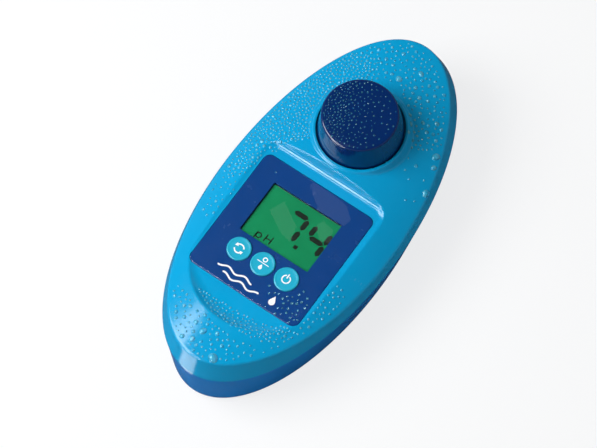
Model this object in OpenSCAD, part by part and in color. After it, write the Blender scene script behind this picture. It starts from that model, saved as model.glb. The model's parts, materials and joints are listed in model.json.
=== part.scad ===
// Handheld digital water tester (pool photometer), built as an assembly.
// Origin: centre of the base face. +Y towards the sample chamber end (the head; -Y is the tail),
// +X to the right, +Z up. Millimetres.

/* [Case] */
// Overall length of the case, measured along the parting line
case_l = 155; // [152:1:157]
// Overall width of the case at the parting line
case_w = 75.5; // [74:0.5:77]
// Height of the crown of the upper shell above the base
crown_z = 35.5; // [35.3:0.1:35.8]
// Radius of the barrel-shaped crown across the case
crown_r = 74.4; // [72:0.2:76]
// Radius of the crown along the case
crown_long_r = 815; // [780:5:860]
// How far the upper wall leans inwards for each millimetre of height
wall_flare = 0.315; // [0.28:0.005:0.34]
// How far the lower shell tapers inwards from the parting line to the base
base_taper = 3.7; // [3.5:0.1:3.9]
// How far the base sits towards the tail end
base_shift = 3.3; // [2.4:0.1:3.3]
// Wall thickness of both shells
wall = 2.5; // [2.4:0.05:2.6]

/* [Panel and display] */
// Width of the dark control panel
panel_w = 48.3; // [47.5:0.1:48.8]
// Length of the dark control panel
panel_l = 51.2; // [50.5:0.1:51.6]
// Corner radius of the control panel
panel_r = 2.8; // [2:0.1:4]
// Width of the display opening
lcd_w = 30.3; // [29:0.1:31]
// Height of the display opening
lcd_h = 22.2; // [21:0.1:23]

/* [Keys] */
// Diameter of each round key
key_d = 9.3; // [9:0.1:9.4]
// Distance between neighbouring keys
key_pitch = 10.55; // [10.5:0.05:11]
// Key travel
key_travel = 0.4; // [0.3:0.05:0.5]

/* [Sample chamber and cap] */
// Inner radius of the sample chamber (13 mm holds 10 ml)
chamber_r = 13; // [12.6:0.1:13.2]
// Radius of the cap where it enters the collar
cap_r = 16.2; // [16:0.05:16.3]
// Radius of the cap at its top edge
cap_top_r = 14.4; // [14:0.1:15]
// Height of the cap's top face above the base
cap_top_z = 47.7; // [45:0.1:50]

/* [Batteries] */
// Diameter of one AAA cell
cell_d = 10.5; // [10.4:0.05:10.5]
// Length of one AAA cell
cell_l = 44.5; // [44:0.1:44.5]

/* [Hidden] */

lap = 0.01;                   // overlap that joins touching solids
half_w = case_w / 2;
half_l = case_l / 2;

// Heights
part_z = 21.5;                // parting plane between the two shells
pocket_z = 30.1;              // flat floor of the pocket around the panel
slab_z = 27.4;                // underside of the pocket floor
collar_z = 35.7;              // top of the collar around the cap
over_z = 40;                  // clear of the upper shell
floor_z = wall - lap;         // where features rise from the lower shell's floor
board_z = 18;                 // underside of the main board
board_t = 1.6;
board_top = board_z + board_t;
panel_z = 29;                 // underside of the panel
panel_top = 30.2;
glass_z = 28.1;               // underside of the upper glass sheet
key_foot_z = 25.6;            // key underside, where its plunger ends
seat_z = 4.6;                 // underside of the sample chamber
flange_z = 29.4;              // top of the chamber's flange
seal_top = 30.2;              // top of the seal on that flange
screw_seat_z = 13;            // where the case screw heads bear
beam_z = 14;                  // light path through the chamber

// Places in plan
panel_y = -18.9;
lcd_y = -12.9;                // centre of the display opening
glass_y = -11.5;              // centre of the display glass, frame and backlight
key_y = -30.6;
cup_y = 32;                   // axis of the sample chamber
board_y = -16;
bay_y = -32;                  // centre of the battery bay
case_screw = [18, 50];        // offsets from the origin
post = [20.5, 25];            // board posts, offsets from the board's centre
cover_screw_y = 29.5;         // offset from the bay's centre
wire = [7, board_y + 7];      // battery wires; x is to either side

// Colours used by more than one node
LIGHT = [0.02, 0.60, 0.80];
DARK = [0.02, 0.27, 0.55];
STEEL = [0.75, 0.75, 0.78];
RUBBER = [0.08, 0.08, 0.09];
MATT_BLACK = [0.07, 0.07, 0.08];
BOARD_GREEN = [0.05, 0.35, 0.15];

// ---------- shared shapes ----------
module rounded_rect(w, l, r) {
  square([w - 2 * r, l], center = true);
  square([w, l - 2 * r], center = true);
  for (sx = [-1, 1], sy = [-1, 1])
    translate([sx * (w / 2 - r), sy * (l / 2 - r)]) circle(r = r, $fn = 48);
}
module rounded_block(w, l, r, z0, z1) {
  translate([0, 0, z0]) linear_extrude(height = z1 - z0) rounded_rect(w, l, r);
}
module disc(r, z0, z1, sides = 96) {
  translate([0, 0, z0]) cylinder(r = r, h = z1 - z0, $fn = sides);
}
// Box between two corners
module box(x0, x1, y0, y1, z0, z1) {
  translate([x0, y0, z0]) cube([x1 - x0, y1 - y0, z1 - z0]);
}
// Box centred in X and Y
module block(w, l, z0, z1) { box(-w / 2, w / 2, -l / 2, l / 2, z0, z1); }
module cross_slot(span, w, z0, z1) {
  for (a = [0, 90]) rotate([0, 0, a]) block(span, w, z0, z1);
}

// ---------- placing ----------
module at_y(y) { translate([0, y, 0]) children(); }
// Four places, offset [x, y] both ways from a centre
module four_sites(offset, y = 0) {
  for (sx = [-1, 1], sy = [-1, 1]) translate([sx * offset.x, y + sy * offset.y, 0]) children();
}
module case_screw_sites() { four_sites(case_screw) children(); }
module post_sites() { four_sites(post, board_y) children(); }
module cover_screw_sites() { for (s = [-1, 1]) at_y(bay_y + s * cover_screw_y) children(); }
module wire_sites() { for (s = [-1, 1]) translate([s * wire.x, wire.y, 0]) children(); }
module key_site(i) { translate([i * key_pitch, key_y, 0]) children(); }
module key_sites() { for (i = [-1:1]) key_site(i) children(); }
module key_holes(z0, z1) { key_sites() disc(key_d / 2 + 0.1, z0, z1); }
// Solid turned around the chamber axis from a [radius, z] profile
module cup_turned() { at_y(cup_y) rotate_extrude($fn = 180) children(); }
// Child turned to lie along +X at the height of the light path
module on_beam(x, dy = 0) { translate([x, cup_y + dy, beam_z]) rotate([0, 90, 0]) children(); }

// ---------- case outline ----------
outline_sides = 72;
egg = 0.0144;                 // how much narrower the head end of the outline is
tip = 0.43;                   // slight squaring of the outline towards both ends
crown_sweep = 16;             // degrees of arc swept along the case

module oval(inset) {
  polygon([for (i = [0:outline_sides - 1]) let (t = 360 * i / outline_sides)
    [(half_w - inset) * cos(t) * (1 - egg * sin(t)),
     (half_l + tip - inset) * sin(t) + tip * sin(3 * t)]]);
}
module oval_ring(outer, inner, height) {
  translate([0, 0, part_z - gasket_h]) linear_extrude(height = height) difference() {
    oval(outer);
    oval(inner);
  }
}
// Solid with a leaning wall: inset by inset0 at z0 and by inset1 at z1
module lean(z0, z1, inset0, inset1) {
  translate([0, 0, z0])
    linear_extrude(height = z1 - z0, slices = 1,
                   scale = [(half_w - inset1) / (half_w - inset0), (half_l - inset1) / (half_l - inset0)])
      oval(inset0);
}
// Barrel crown, curved both ways, the given depth below the outer skin
module crown(depth) {
  translate([0, 0, crown_z - crown_long_r]) rotate([0, -90, 0]) rotate([0, 0, -crown_sweep / 2])
    rotate_extrude(angle = crown_sweep, $fn = 720)
      translate([crown_long_r - crown_r, 0]) rotate(180) circle(r = crown_r - depth, $fn = 240);
}

// ---------- pocket around the panel ----------
pocket_top = 11.2;            // straight edge of the pocket floor at the head
pocket_hw = 27.4;             // half width of the pocket
scoop_r = 37.3;               // round edge at the tail, seen from above
scoop_floor_r = scoop_r - 2.1;
scoop_y = -21;
end_slope = 2.0 / 5.2;        // run per rise of the straight end wall
scoop_slope = 7 / 11;         // run per rise of the round wall
pocket_h = 10;                // height cut away above the floor

// Plan of the pocket, grown by margin: straight at the head, round at the tail
module pocket_plan(margin) {
  intersection() {
    translate([-pocket_hw - margin, -90]) square([2 * (pocket_hw + margin), 90 + pocket_top + margin]);
    at_y(scoop_y) circle(r = scoop_r + margin, $fn = 180);
  }
}
// Everything above the pocket floor
module pocket_cut() {
  intersection() {
    translate([-45, 0, 0]) rotate([90, 0, 90]) linear_extrude(height = 90)
      polygon([[-75, pocket_z], [pocket_top, pocket_z],
               [pocket_top + end_slope * pocket_h, pocket_z + pocket_h], [-75, pocket_z + pocket_h]]);
    union() {
      translate([0, scoop_y, pocket_z - 1])
        cylinder(r1 = scoop_floor_r - scoop_slope, r2 = scoop_floor_r + scoop_slope * pocket_h,
                 h = pocket_h + 1, $fn = 180);
      box(-42, 42, -46, 40, pocket_z - 1, pocket_z + 10.5);
    }
  }
}

// ---------- upper shell ----------
// [radius, z], with a soft outer bevel
collar_profile = [[12, 31], [18.8, 31], [18.5, 34.6], [17.7, collar_z], [12, collar_z]];

module upper_body() {
  intersection() {
    lean(part_z, over_z, 0, wall_flare * (over_z - part_z));
    crown(0);
  }
  cup_turned() polygon(collar_profile);
}
// Hollow of the shell, less the pocket slab, chamber boss and screw bosses
module upper_hollow() difference() {
  intersection() {
    lean(part_z - 1, over_z, wall, wall + wall_flare * (over_z + 1 - part_z));
    crown(wall);
  }
  translate([0, 0, slab_z]) linear_extrude(height = 12) pocket_plan(2.2);
  at_y(cup_y) disc(18.9, 24.5, over_z, 120);
  case_screw_sites() disc(3.6, part_z - 2, over_z, 48);
}
module upper_housing() color(LIGHT) difference() {
  union() {
    difference() {
      upper_body();
      upper_hollow();
    }
    post_sites() disc(2.6, board_top, slab_z + 0.5, 48);
  }
  pocket_cut();
  // panel recess, display opening, key holes
  at_y(panel_y) rounded_block(panel_w + 0.2, panel_l + 0.2, panel_r + 0.1, panel_z, over_z);
  at_y(glass_y) rounded_block(glass_w + 0.4, glass_l + 0.4, 0.6, 20, over_z);
  key_holes(20, over_z);
  // mouth for the cap, bore, and room for the chamber flange and its seal
  at_y(cup_y) {
    disc(16.7, 32.2, over_z, 180);
    disc(mouth_r, 20, over_z, 180);
    disc(flange_r + 0.2, 20, seal_top, 180);
  }
  case_screw_sites() disc(1.5, part_z - 3, 28.5, 48);
  post_sites() disc(1.0, board_z, 26, 32);
}

// ---------- lower shell, gasket, screws ----------
gasket_h = 1.3;
chamber_seat_r = 14.8;
base_inset = base_taper + wall;  // inset of the hollow at the floor

module lower_outside() hull() {
  lean(part_z - 0.4, part_z, 0.3, 0.25);
  at_y(-base_shift) {
    lean(1.5, 1.9, base_taper - 0.15, base_taper - 0.2);
    lean(0, 0.5, base_taper + 1.3, base_taper + 0.45);
  }
}
module lower_inside() hull() {
  lean(part_z + 0.6, part_z + 1, wall + 0.05, wall);
  at_y(-0.9 * base_shift) lean(wall, wall + 0.4, base_inset, base_inset - 0.05);
}
module bay_space() { at_y(bay_y) block(bay_w, bay_l, -1, bay_roof_z); }
// Pad under an optics holder
module optics_pad(x0, x1) { box(x0, x1, cup_y - holder_hw, cup_y + holder_hw, floor_z, holder_z); }

module lower_housing() color(DARK) difference() {
  union() {
    difference() {
      lower_outside();
      lower_inside();
    }
    // walls and roof of the battery bay
    difference() {
      at_y(bay_y) block(bay_w + 3.4, bay_l + 3.6, floor_z, bay_roof_z + 1.5);
      bay_space();
    }
    // thicker rim for the battery cover
    at_y(bay_y) rounded_block(33, 69, 5, floor_z, 4.6);
    cover_screw_sites() disc(3.2, floor_z, 10, 48);
    case_screw_sites() disc(4, floor_z, part_z, 48);
    // seat under the sample chamber
    at_y(cup_y) difference() {
      disc(16.6, floor_z, 7.5, 120);
      disc(chamber_seat_r, seat_z, 8, 120);
      disc(10, 0, 8);
    }
    optics_pad(led_x, -filter_x);
    optics_pad(filter_x, sensor_x + board_t);
  }
  // battery opening, with the recesses of the cover and its seal
  at_y(bay_y) rounded_block(cover_w, cover_l, cover_r, -1, 2);
  bay_space();
  at_y(bay_y) rounded_block(seal_w, seal_l, seal_r, 1, 3.2);
  cover_screw_sites() disc(1.2, 1, 9, 32);
  case_screw_sites() {
    disc(3.1, -1, screw_seat_z, 64);
    disc(1.7, 0, 30, 48);
  }
  // gasket groove
  oval_ring(0.9, 2.0, 3);
  // wire ports from the bay
  wire_sites() disc(0.9, 12, 20, 24);
}
module housing_gasket() color(RUBBER) oval_ring(0.95, 1.95, gasket_h);

module housing_screws() color(STEEL) case_screw_sites() difference() {
  union() {
    // head, shank, tip
    rotate_extrude($fn = 48)
      polygon([[0, 11], [2.1, 11], [2.75, 11.5], [2.75, screw_seat_z], [0, screw_seat_z]]);
    disc(1.5, screw_seat_z - lap, 27, 48);
    translate([0, 0, 27 - lap]) cylinder(r1 = 1.5, r2 = 0.4, h = 1.2, $fn = 48);
  }
  cross_slot(3, 0.6, 10, 12.2);
}

// ---------- panel, display ----------
glass_w = 34;
glass_l = 26;
zebra_y = 12.2;               // zebra strips, offset from the glass centre

module panel_sheet(z0, z1) difference() {
  at_y(panel_y) rounded_block(panel_w, panel_l, panel_r, z0, z1);
  key_holes(28, 31);
}
module front_panel() color(DARK) difference() {
  panel_sheet(panel_z, panel_top);
  at_y(lcd_y) rounded_block(lcd_w, lcd_h, 0.5, 28, 31);
}
module panel_overlay() color([0.8, 0.9, 1.0, 0.25]) panel_sheet(panel_top, panel_top + 0.2);
module lcd_glass() color([0.05, 0.50, 0.28]) at_y(glass_y) {
  block(glass_w, glass_l, glass_z, panel_z);
  block(glass_w, 23.6, 27.2, glass_z);
}
module lcd_frame() color([0.9, 0.9, 0.88]) at_y(glass_y) difference() {
  box(-19.2, 19.2, -13.9, 14.6, board_top, slab_z);
  block(glass_w + 0.2, glass_l + 0.2, 22, 30);
  for (s = [-1, 1]) at_y(s * zebra_y) block(32, 1.6, 19, 30);
  block(26, 16, 19, 30);
}
module lcd_backlight() color([0.95, 1.0, 0.95]) at_y(glass_y) difference() {
  block(33, 21.2, 22, 27.2);
  for (x = [-10, 0, 10]) translate([x, 0, 0]) disc(1.4, 21, 23, 32);
}
module zebra_strips() color([0.25, 0.25, 0.28]) at_y(glass_y)
  for (s = [-1, 1]) at_y(s * zebra_y) block(31, 0.7, board_top, glass_z);

// ---------- main board ----------
board_w = 47;
board_l = 56;
chip_h = 1.2;
// chips under the board: x, y, body length, body width, pins per side, pin pitch
chips = [[ 18, -17, 9, 5.6, 12, 0.7],
         [-18, -17, 5, 4,    4, 1.27],
         [ 18,   1, 5, 4,    4, 1.27]];
// rows of small parts under the board: y, width, length of each
part_rows = [[8.6, 2, 1.2], [-43, 1.2, 1.6]];

module main_board() color(BOARD_GREEN) difference() {
  translate([0, board_y, board_z]) linear_extrude(height = board_t) difference() {
    rounded_rect(board_w, board_l, 3);
    for (s = [-1, 1]) translate([s * wire.x, wire.y - board_y]) circle(r = 0.7, $fn = 24);
  }
  post_sites() disc(1.1, 10, 30, 32);
}
// Chip hanging below z = 0, pins along both long sides
module chip(w, l, pins, pitch) {
  block(w, l, -chip_h, 0);
  for (s = [-1, 1], i = [0:pins - 1])
    translate([(i - (pins - 1) / 2) * pitch, s * (l / 2 + 0.5), 0]) block(0.36, 1.2, -0.3, 0);
}
module board_components() color([0.12, 0.12, 0.13]) translate([0, 0, board_z]) {
  for (c = chips) translate([c[0], c[1], 0]) rotate([0, 0, 90]) chip(c[2], c[3], c[4], c[5]);
  // crystal
  translate([-17.5, 0, 0]) block(6, 2.8, -1.5, 0);
  for (row = part_rows, i = [0:3])
    translate([-12 + i * 8, row[0], 0]) block(row[1], row[2], -0.8, 0);
}
module board_screws() color(STEEL) post_sites() difference() {
  union() {
    disc(1.9, board_z - 1.4, board_z, 48);
    disc(1.0, board_z - lap, 25, 48);
  }
  cross_slot(2.2, 0.5, board_z - 2, board_z - 0.6);
}

// ---------- keys, numbered -1 to 1 from the left ----------
key_rim_r = 5.1;              // rim that holds the key under the pocket floor
key_rim_z = slab_z - 0.02;
key_r = key_d / 2;

module key_switches() color([0.15, 0.15, 0.16]) key_sites() difference() {
  union() {
    block(6, 6, board_top, 22.8);
    disc(2.4, 22.7, 23.2, 48);
  }
  disc(1.75, 20.6, 24, 48);
}
module key(i) color([0.12, 0.62, 0.80]) key_site(i) rotate_extrude($fn = 96)
  polygon([[0, key_foot_z], [key_rim_r, key_foot_z], [key_rim_r, key_rim_z], [key_r, key_rim_z],
           [key_r, 30.55], [key_r - 0.12, 30.72], [key_r - 0.4, 30.8], [0, 30.86]]);
module plunger(i) color([0.85, 0.82, 0.7]) key_site(i) disc(1.7, 21 + key_travel, key_foot_z, 48);
module mode_key() key(-1);
module zero_test_key() key(0);
module power_key() key(1);
module mode_plunger() plunger(-1);
module zero_test_plunger() plunger(0);
module power_plunger() plunger(1);

// ---------- sample chamber and cap: profiles are [radius, z] ----------
cup_out_r = 14.6;
flange_r = 17.1;
mouth_r = 13.9;
plug_r = 13.6;
plug_top = 34.6;
groove_r = 12.2;              // bottom of the plug's seal groove
ring_r = 0.84;                // section radius of the cap seal

module sample_chamber() color([0.85, 0.95, 1.0, 0.4]) cup_turned()
  polygon([[0, seat_z], [cup_out_r, seat_z], [cup_out_r, 27.4], [flange_r, 27.4],
           [flange_r, flange_z], [mouth_r, flange_z], [mouth_r, 25.4], [chamber_r, 24.8],
           [chamber_r, 7.2], [chamber_r - 0.8, 6.4], [0, 6.4]]);
module chamber_seal() color([0.1, 0.1, 0.11]) cup_turned()
  polygon([[14.1, flange_z], [flange_r, flange_z], [flange_r, seal_top], [14.1, seal_top]]);
module light_cap() color([0.02, 0.10, 0.32]) cup_turned() difference() {
  polygon([[0, 32.25], [cap_r, 32.25], [cap_r, 35.4], [cap_top_r, cap_top_z - 0.8],
           [cap_top_r - 0.24, cap_top_z - 0.25], [cap_top_r - 0.8, cap_top_z], [0, cap_top_z]]);
  polygon([[-1, 30], [13.7, 30], [13.7, plug_top], [13.2, plug_top], [12.0, cap_top_z - 3.2],
           [11, cap_top_z - 2.2], [-1, cap_top_z - 2.2]]);
}
module cap_plug() color([0.05, 0.06, 0.10]) cup_turned() difference() {
  polygon([[0, 25.6], [13.2, 25.6], [plug_r, 26.1], [plug_r, 27.0], [groove_r, 27.0],
           [groove_r, 28.8], [plug_r, 28.8], [plug_r, plug_top], [0, plug_top]]);
  polygon([[-1, 27.2], [10.4, 27.2], [10.4, 36], [-1, 36]]);
}
// Ring in the plug's groove, its outer side cut flat
module cap_seal() color([0.55, 0.12, 0.10]) cup_turned()
  translate([groove_r + 0.02, 27.9]) intersection() {
    translate([ring_r, 0]) circle(r = ring_r, $fn = 64);
    translate([0, -ring_r]) square([1.66, 2 * ring_r]);
  }

// ---------- optics: LEDs on the left, sensor on the right ----------
led_x = -25;                  // outer face of the LED holder
sensor_x = 23;                // outer face of the sensor holder
led_flange = 1;
led_dy = 2.6;                 // each LED's offset from the chamber axis
filter_x = 16;
holder_in = 12.5;
holder_hw = 6;
holder_z = 8;
optics_top = 21;              // top of both optics boards
ribbon_t = 0.3;
ribbon_y = cup_y - 7;

// Holder block, hollowed to fit round the chamber
module holder(x0, x1) difference() {
  box(x0, x1, cup_y - holder_hw, cup_y + holder_hw, holder_z, 20);
  at_y(cup_y) disc(cup_out_r, 0, 40, 180);
}
module led_holder() color(MATT_BLACK) difference() {
  holder(led_x, -holder_in);
  for (s = [-1, 1]) on_beam(led_x - 1, s * led_dy) cylinder(r = 1.55, h = 14, $fn = 48);
}
module leds() color([0.9, 0.9, 0.8]) for (s = [-1, 1]) on_beam(led_x, s * led_dy)
  rotate_extrude($fn = 48) intersection() {
    union() {
      square([1.5, 3.8]);
      translate([0, 3.8]) circle(r = 1.5, $fn = 48);
      translate([0, -led_flange]) square([1.9, led_flange]);
    }
    // keeps the half profile to the right of the axis
    translate([0, -1]) square([3, 8]);
  }
module led_board() color(BOARD_GREEN)
  box(led_x - led_flange - 1.2, led_x - led_flange, cup_y - 7, cup_y + 5, 9.5, optics_top);
module sensor_holder() color(MATT_BLACK) difference() {
  holder(holder_in, sensor_x);
  on_beam(10) cylinder(r = 2.4, h = 8, $fn = 64);
  on_beam(filter_x) cylinder(r = 3.5, h = 10, $fn = 64);
}
module light_filter() color([0.2, 0.75, 0.35, 0.6]) on_beam(filter_x) cylinder(r = 3.5, h = 2, $fn = 64);
module photodiode() color([0.78, 0.76, 0.70]) on_beam(18.4) {
  cylinder(r = 2.9, h = 3.8, $fn = 64);
  translate([0, 0, 3.8 - lap]) cylinder(r = 3.4, h = 0.8 + lap, $fn = 64);
}
module sensor_board() color(BOARD_GREEN)
  box(sensor_x, sensor_x + board_t, cup_y - 7, cup_y + 7, holder_z, optics_top);
// Flat ribbon on the right: along Y from the main board, out to end_x, then along the optics board
module ribbon(end_x) {
  z0 = board_z - ribbon_t;
  y0 = ribbon_y - ribbon_t;
  box(20, 23, board_y + board_l / 2 - 1, ribbon_y, z0, board_z);
  box(20, end_x, y0, ribbon_y, z0, board_z);
  box(end_x - ribbon_t, end_x, y0, cup_y - 5, board_z - 3, board_z);
}
module optics_ribbons() color(STEEL) {
  mirror([1, 0, 0]) ribbon(led_flange - led_x);
  ribbon(sensor_x + board_t + ribbon_t);
}

// ---------- batteries ----------
bay_w = 23;
bay_l = 51;
bay_roof_z = 14.5;            // underside of the bay's roof
cell_x = 5.6;
cell_z = 8.9;
contact_t = 0.4;
tip_gap = 1.6;                // bay end to the cell's positive tip
spring_l = bay_l - contact_t - tip_gap - cell_l;

// Left side as given, right side turned end for end about the bay's centre
module both_ways() { at_y(bay_y) for (a = [0, 180]) rotate([0, 0, a]) children(); }
// Cell along +Y, positive tip last
module cell() rotate([-90, 0, 0]) rotate_extrude($fn = 96) {
  r = cell_d / 2;
  polygon([[0, 0], [r - 0.5, 0], [r, 0.5], [r, cell_l - 1.5], [r - 0.5, cell_l - 1],
           [1.9, cell_l - 1], [1.9, cell_l], [0, cell_l]]);
}
module batteries() color([0.25, 0.45, 0.35])
  both_ways() translate([-cell_x, bay_l / 2 - tip_gap - cell_l, cell_z]) cell();

// Coil spring along +Y: length, coil radius, radius of its round wire, turns
module coil(len, r, wire_r, turns) {
  steps = round(16 * turns);
  sides = 8;
  points = [for (i = [0:steps])
              let (a = 360 * turns * i / steps, y = wire_r + (len - 2 * wire_r) * i / steps)
              for (j = [0:sides - 1])
                let (b = 360 * j / sides, reach = r + wire_r * cos(b))
                [reach * cos(a), y + wire_r * sin(b), reach * sin(a)]];
  ends = [[for (j = [sides - 1:-1:0]) j], [for (j = [0:sides - 1]) steps * sides + j]];
  skin = [for (i = [0:steps - 1], j = [0:sides - 1])
            let (here = i * sides, next = here + sides, k = (j + 1) % sides)
            each [[here + j, here + k, next + k], [here + j, next + k, next + j]]];
  polyhedron(points = points, faces = concat(ends, skin));
}
module battery_springs() color([0.8, 0.8, 0.82]) {
  plate_y = bay_l / 2 - contact_t;
  translate([-cell_x, bay_y - plate_y, cell_z]) coil(spring_l, 2.9, 0.4, 3);
  translate([cell_x, bay_y + plate_y - spring_l, cell_z]) coil(spring_l, 2.9, 0.4, 3);
}
module battery_contacts() color([0.82, 0.80, 0.72]) {
  plate_y = (bay_l - contact_t) / 2;
  four_sites([cell_x, plate_y], bay_y) block(8.8, contact_t, 4.4, 13.4);
  // pips that meet the positive tips
  both_ways() translate([-cell_x, bay_l / 2 - 0.3, cell_z])
    rotate([90, 0, 0]) cylinder(r = 1.8, h = 1.3, $fn = 48);
  // bridge between the two tail plates
  at_y(bay_y - plate_y) block(2.6, contact_t, 5, 7);
}
module battery_wires() color([0.75, 0.10, 0.08]) wire_sites() {
  disc(0.65, 14.5, board_top, 24);
  disc(0.85, 14.2, 14.5, 24);
}

// ---------- battery cover: sizes are of the recesses in the lower shell ----------
cover_w = 29;
cover_l = 66;
cover_r = 5;
cover_gap = 0.2;              // around the cover
seal_w = 26.4;
seal_l = 54.4;
seal_r = 2.4;
seal_gap = 0.1;               // around the seal

module battery_cover() color(DARK) difference() {
  at_y(bay_y)
    rounded_block(cover_w - 2 * cover_gap, cover_l - 2 * cover_gap, cover_r - cover_gap, 0, 1.9);
  cover_screw_sites() {
    disc(1.35, -1, 3, 32);
    disc(2.6, -1, 0.9, 48);
  }
  // seven grooves across the outer face
  for (i = [-3:3]) at_y(bay_y + 8 + i * 2.2) block(10, 1, -1, 0.4);
}
module battery_cover_seal() color(RUBBER) at_y(bay_y) difference() {
  rounded_block(seal_w - 2 * seal_gap, seal_l - 2 * seal_gap, seal_r - seal_gap, 2.0, 3.2);
  rounded_block(23.6, 51.6, 1, 1, 4);
}
module battery_cover_screws() color(STEEL) cover_screw_sites() difference() {
  union() {
    disc(2.4, 0.15, 0.9, 48);
    disc(1.2, 0.9 - lap, 8, 48);
  }
  cross_slot(2.4, 0.5, -1, 0.55);
}

upper_housing();
lower_housing();
housing_gasket();
front_panel();
panel_overlay();
lcd_glass();
lcd_frame();
lcd_backlight();
zebra_strips();
main_board();
board_components();
board_screws();
mode_key();
zero_test_key();
power_key();
mode_plunger();
zero_test_plunger();
power_plunger();
key_switches();
sample_chamber();
chamber_seal();
light_cap();
cap_plug();
cap_seal();
led_holder();
leds();
led_board();
sensor_holder();
light_filter();
photodiode();
sensor_board();
optics_ribbons();
batteries();
battery_springs();
battery_contacts();
battery_wires();
battery_cover();
battery_cover_seal();
battery_cover_screws();
housing_screws();
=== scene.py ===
# Handheld digital water tester: an egg-shaped two-part case with a display, three keys and a
# round sample cap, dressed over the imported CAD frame.
# It lies on its back, face up (+Z), its length along Y: head and cap at +Y, tail at -Y.
# Lengths are in millimetres unless said otherwise; meshes are written in metres.
import bpy
import bmesh
import json
import math
import random
import numpy as np
from mathutils import Matrix, Vector


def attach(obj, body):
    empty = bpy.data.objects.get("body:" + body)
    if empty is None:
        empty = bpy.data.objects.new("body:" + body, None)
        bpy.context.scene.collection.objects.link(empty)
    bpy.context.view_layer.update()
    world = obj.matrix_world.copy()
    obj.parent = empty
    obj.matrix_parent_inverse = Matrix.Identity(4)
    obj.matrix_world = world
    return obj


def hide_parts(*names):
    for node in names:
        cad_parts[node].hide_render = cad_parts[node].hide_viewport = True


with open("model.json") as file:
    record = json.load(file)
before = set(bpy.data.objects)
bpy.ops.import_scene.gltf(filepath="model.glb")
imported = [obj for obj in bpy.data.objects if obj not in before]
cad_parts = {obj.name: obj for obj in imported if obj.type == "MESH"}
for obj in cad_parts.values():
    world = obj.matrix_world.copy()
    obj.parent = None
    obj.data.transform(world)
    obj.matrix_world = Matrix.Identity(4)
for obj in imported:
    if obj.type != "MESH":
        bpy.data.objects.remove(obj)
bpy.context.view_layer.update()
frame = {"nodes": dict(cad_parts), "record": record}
MM = 0.001

# ------------------------------------------------------------------ driving dimensions
# case outline at the parting line
HALF_WIDTH, HALF_LENGTH = 37.75, 77.5
EGG = 0.0144                # how much narrower the head is than the tail
TIP = 0.43                  # third harmonic that shapes both ends
PART_Z = 21.5               # parting line
FLARE = 0.315               # inset of the upper flank per millimetre of height
BASE_SHIFT = 3.3            # how far the underside is shifted towards the tail
WALL = 2.5
# crowned top: its highest point and its radii across and along
CROWN_Z, CROWN_ACROSS, CROWN_ALONG = 35.5, 74.4, 815.0
# pocket round the panel
FLOOR_Z = 30.1
POCKET_HALF, POCKET_END_Y, POCKET_CORNER = 25.6, 11.2, 4.6
SIDE_SLOPE = 1.15
END_SLOPE, END_STEEP, END_TURN, END_OFFSET = 0.86, 2.9, 1.15, 0.75
# finger scoop at the tail end of the pocket: a dished ring, then a straight rise
SCOOP_Y, SCOOP_R, SCOOP_BOWL, SCOOP_CURVE, SCOOP_RISE = -21.0, 30.2, 6.6, 0.085, 3.70
SCOOP_LIMIT_Y = -36
# collar round the cap
CUP_Y = 32.0
COLLAR_Z, COLLAR_OUT, COLLAR_IN = 35.7, 17.45, 17.05
# panel, its protective film, display and keys
PANEL_Y, PANEL_W, PANEL_L, PANEL_R = -18.9, 48.3, 51.2, 2.8
FILM_Z = 30.4
LCD_Y, GLASS_Y = -12.9, -11.5
KEY_Y, KEY_PITCH, KEY_R, KEY_HOLE_R = -30.6, 10.55, 4.65, 4.75
# cap
CAP_R, CAP_TOP_R, CAP_Z = 16.2, 14.4, 47.7
TAPER_Z, TAPER_END_Z = 35.4, CAP_Z - 0.8
# fixing places
CASE_SCREWS = [(sx * 18, sy * 50) for sx in (-1, 1) for sy in (-1, 1)]
BOARD_POSTS = [(sx * 20.5, y) for sx in (-1, 1) for y in (-41, 9)]
KEY_PLACES = [(i * KEY_PITCH, KEY_Y) for i in (-1, 0, 1)]
BAY_Y = -32                 # middle of the battery bay
BAY_SCREWS = [(0, BAY_Y - 29.5), (0, BAY_Y + 29.5)]

# ------------------------------------------------------------------ camera
# rows: the camera's right, up and backward directions
CAM_AXES = np.array([[0.81636749, 0.57639264, -0.03627188],
                     [-0.52368486, 0.76527095, 0.37431877],
                     [0.2435124, -0.28658664, 0.92659042]])
CAM_PLACE = np.array([286.233, -345.294, 1113.051])
LENS, SENSOR = 192.843, 36.0
# The view plane faces the camera at this distance and passes just in front of the frame's
# origin. A place in it is (right, up) from the camera's axis.
VIEW_DIST = 1199.24240625


def to_view(point):
    """Where a point falls in the view plane."""
    right, up, back = CAM_AXES @ (np.asarray(point, float) - CAM_PLACE)
    return right * VIEW_DIST / -back, up * VIEW_DIST / -back


def from_view(right, up, z):
    """Point at height z that falls at (right, up) in the view plane."""
    ray = CAM_AXES.T @ np.array([right, up, -VIEW_DIST])
    return CAM_PLACE + (z - CAM_PLACE[2]) / ray[2] * ray


# ------------------------------------------------------------------ surfaces of the case
def outline(t, inset):
    """Case outline at angles t, moved inwards by inset."""
    return ((HALF_WIDTH - inset) * np.cos(t) * (1 - EGG * np.sin(t)),
            (HALF_LENGTH + TIP - inset) * np.sin(t) + TIP * np.sin(3 * t))


def flank(t, z, inset=0):
    """Outline of the upper shell's leaning flank at height z."""
    return outline(t, inset + FLARE * (z - PART_Z))


def smin(a, b, blend):
    """Lesser of two heights, rounded over where they are closer than blend."""
    h = np.clip(blend - np.abs(a - b), 0, None) / blend
    return np.minimum(a, b) - h * h * blend * 0.25


def smax(a, b, blend):
    return -smin(-a, -b, blend)


def ease(low, high, value):
    t = np.clip((value - low) / (high - low), 0, 1)
    return t * t * (3 - 2 * t)


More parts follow.
